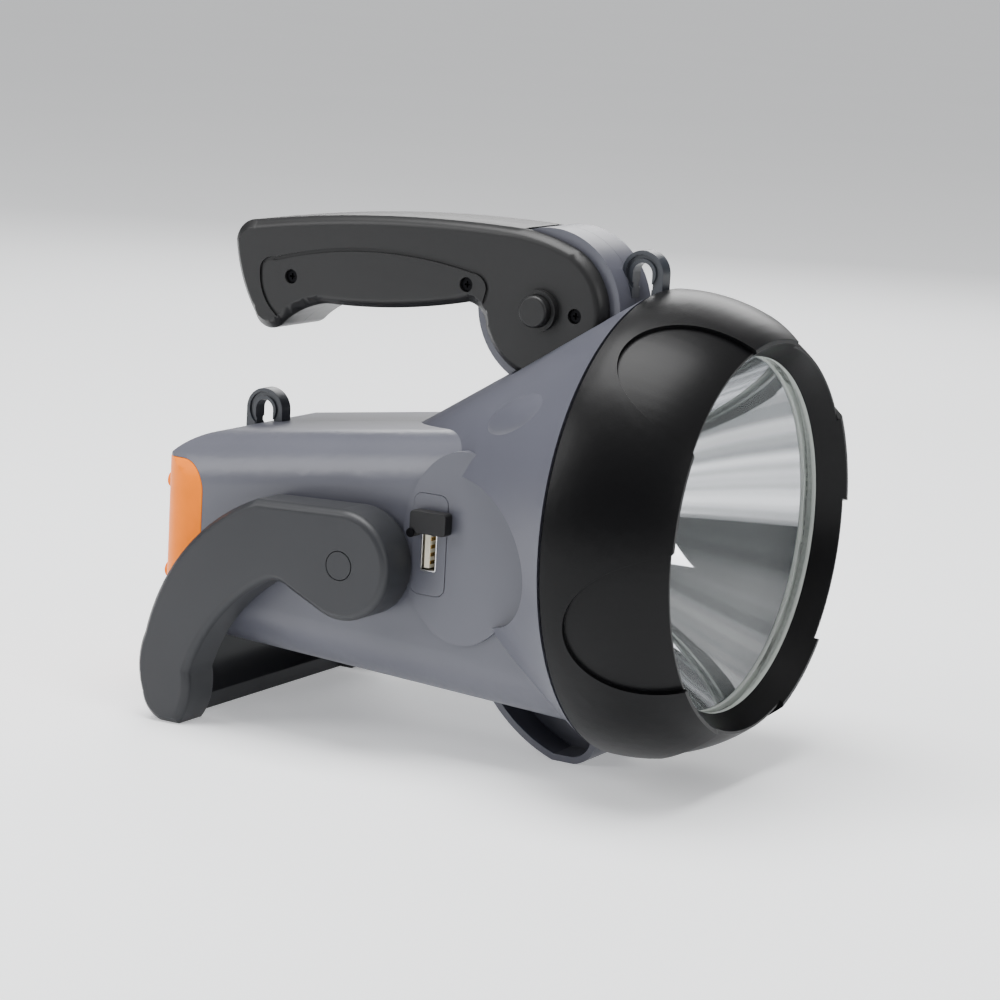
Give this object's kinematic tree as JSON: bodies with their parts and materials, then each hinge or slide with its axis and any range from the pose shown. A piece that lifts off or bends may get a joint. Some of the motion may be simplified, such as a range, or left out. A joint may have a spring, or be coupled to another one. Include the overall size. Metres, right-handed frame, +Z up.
{
  "type": "rechargeable hand spotlight",
  "caption": "Rechargeable hand spotlight: domed bezel with mirror bowl, swinging carry handle, folding U stand, amber rear light and covered charging socket.",
  "frame": {"origin": "under the middle of the whole lamp, on the surface that its front foot and stand rest on", "axes": "+X along the beam towards the lens, +Y to the lamp's left, +Z up"},
  "size_m": [0.209, 0.1498, 0.171],
  "materials": {
    "housing_plastic": "satin",
    "bezel_plastic": "fine grain satin",
    "handle_plastic": "fine grain matt",
    "stand_plastic": "fine grain matt",
    "loop_plastic": "satin",
    "soft_rubber": "matt",
    "gasket_rubber": "matt",
    "mirror_bowl": "mirror",
    "clear_glass": "clear",
    "amber_plastic": "translucent amber",
    "lamp_white": "satin",
    "board_white": "matt",
    "board_green": "satin",
    "sink_aluminium": "milled",
    "bright_steel": "bright",
    "dark_steel": "blackened",
    "contact_brass": "gold plated",
    "tongue_cream": "satin",
    "cell_wrap": "satin",
    "holder_black": "matt",
    "pilot_red": "translucent"
  },
  "bodies": {
    "housing": {"body_shell_right": "housing_plastic", "body_shell_left": "housing_plastic", "body_screws": "dark_steel", "bezel": "bezel_plastic", "lens_gasket": "gasket_rubber", "lens": "clear_glass", "reflector": "mirror_bowl", "reflector_clamp_ring": "holder_black", "bezel_seal": "soft_rubber", "lamp_board": "board_white", "lamp_emitter": "lamp_white", "heat_sink": "sink_aluminium", "strap_loop_front": "loop_plastic", "strap_loop_rear": "loop_plastic", "rear_light_cover": "amber_plastic", "rear_light_board": "board_white", "rear_light_leds": "lamp_white", "handle_pivot_tube": "dark_steel", "stand_pivot_pin_right": "dark_steel", "stand_pivot_pin_left": "dark_steel", "stand_washer_right": "soft_rubber", "stand_washer_left": "soft_rubber", "socket_panel": "housing_plastic", "socket_shell": "bright_steel", "socket_tongue": "tongue_cream", "socket_contacts": "contact_brass", "socket_cover_pin": "dark_steel", "control_board": "board_green", "power_switch": "holder_black", "charge_inlet": "holder_black", "pilot_light": "pilot_red", "switch_board": "board_green", "battery_cells": "cell_wrap", "battery_holder_front": "holder_black", "battery_holder_rear": "holder_black", "battery_tabs": "bright_steel", "battery_rubber_posts": "soft_rubber"},
    "handle": {"handle_right": "handle_plastic", "handle_left": "handle_plastic", "handle_screws": "dark_steel", "lock_cap_left": "handle_plastic", "lock_spring": "bright_steel"},
    "lock_button": {"lock_button": "handle_plastic"},
    "stand": {"stand_bail": "stand_plastic", "stand_pivot_cap_right": "stand_plastic", "stand_pivot_cap_left": "stand_plastic"},
    "socket_cover": {"socket_cover": "soft_rubber"},
    "power_button": {"power_button": "soft_rubber"}
  },
  "joints": [
    {"name": "handle_pivot", "type": "hinge", "parent": "housing", "child": "handle", "pos_m": [0.0285, 0, 0.14501], "axis": [0, 1, 0], "range_deg": [0, 75]},
    {"name": "lock_button_press", "type": "slide", "parent": "handle", "child": "lock_button", "axis": [0, 1, 0], "range_m": [0, 0.003], "stiffness_N_per_m": 600},
    {"name": "stand_pivot", "type": "hinge", "parent": "housing", "child": "stand", "pos_m": [-0.014, 0, 0.0627], "axis": [0, 1, 0], "range_deg": [-90, 0]},
    {"name": "socket_cover_swing", "type": "hinge", "parent": "housing", "child": "socket_cover", "pos_m": [0.0054, -0.0472, 0.0748], "axis": [0, 1, 0], "range_deg": [0, 90]},
    {"name": "power_button_press", "type": "slide", "parent": "housing", "child": "power_button", "axis": [0, -1, 0], "range_m": [0, 0.0015], "stiffness_N_per_m": 800}
  ]
}
